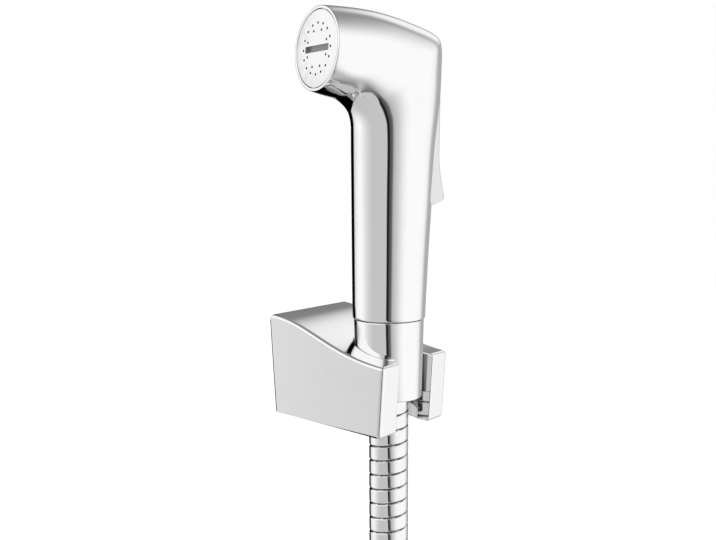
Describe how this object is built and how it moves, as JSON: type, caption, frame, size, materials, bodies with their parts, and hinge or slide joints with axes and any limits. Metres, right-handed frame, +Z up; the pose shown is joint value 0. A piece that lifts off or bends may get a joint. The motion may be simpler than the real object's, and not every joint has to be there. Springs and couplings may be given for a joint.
{
  "type": "hand shower",
  "caption": "Chrome trigger hand shower on a ribbed metal hose, standing in a forked wall holder, with the spare hose coiled below.",
  "frame": {"origin": "on the wall face, midway between the wall plate's two screw holes", "axes": "+Z up, +Y into the wall, +X to the right along the wall as seen from the room; the object stands out along -Y"},
  "size_m": [0.1609, 0.0735, 0.3872],
  "materials": {
    "chrome": "polished",
    "plate": "satin",
    "hose_strip": "polished",
    "hose_coil": "polished",
    "steel": "satin",
    "brass": "satin",
    "rubber": "matte",
    "tie": "matte",
    "plastic": "matte"
  },
  "bodies": {
    "holder": {"holder_body": "chrome", "wall_plate": "plastic", "grub_screw": "steel"},
    "hose": {"hose_nipple": "brass", "slip_ring": "plastic", "crimp_sleeve": "steel", "hose": "hose_strip", "inner_tube": "rubber", "hose_coil": "hose_coil", "hose_tie": "tie", "end_sleeve": "steel", "end_nipple": "brass", "end_washer": "rubber"},
    "handset": {"handset_body": "chrome", "spray_plate": "plate", "plate_seal": "rubber", "inlet_spigot": "brass", "spigot_seal": "rubber", "trigger_pin": "steel", "valve_cartridge": "plastic", "cartridge_seals": "rubber", "gland_nut": "brass", "stem_seal": "rubber", "valve_spring": "steel", "inlet_washer": "rubber", "cone_nut": "chrome"},
    "trigger": {"trigger_lever": "chrome"},
    "valve": {"valve_stem": "brass", "valve_washer": "rubber"},
    "nut": {"hex_nut": "chrome"}
  },
  "joints": [
    {"name": "lift", "type": "slide", "parent": "holder", "child": "hose", "axis": [0, -0.0698, 0.9976], "range_m": [0, 0.04]},
    {"name": "swivel", "type": "hinge", "parent": "hose", "child": "handset", "pos_m": [0, -0.0368, 0.0147], "axis": [0, -0.0698, 0.9976], "continuous": true},
    {"name": "trigger_press", "type": "hinge", "parent": "handset", "child": "trigger", "pos_m": [0.0121, -0.04638, 0.09202], "axis": [0.3256, 0.9432, 0.066], "range_deg": [0, 7], "stiffness_Nm_per_rad": 0.3, "springref_deg": -11.46},
    {"name": "valve_travel", "type": "slide", "parent": "handset", "child": "valve", "axis": [-0.9455, 0.3248, 0.0227], "range_m": [0, 0.003], "deforming": ["valve_spring"]},
    {"name": "nut_spin", "type": "hinge", "parent": "hose", "child": "nut", "pos_m": [0.07, -0.0615, -0.2544], "axis": [0, 0, 1], "continuous": true}
  ],
  "couplings": [
    {"joint": "valve_travel", "follows": "trigger_press", "m_per_rad": 0.0245}
  ]
}
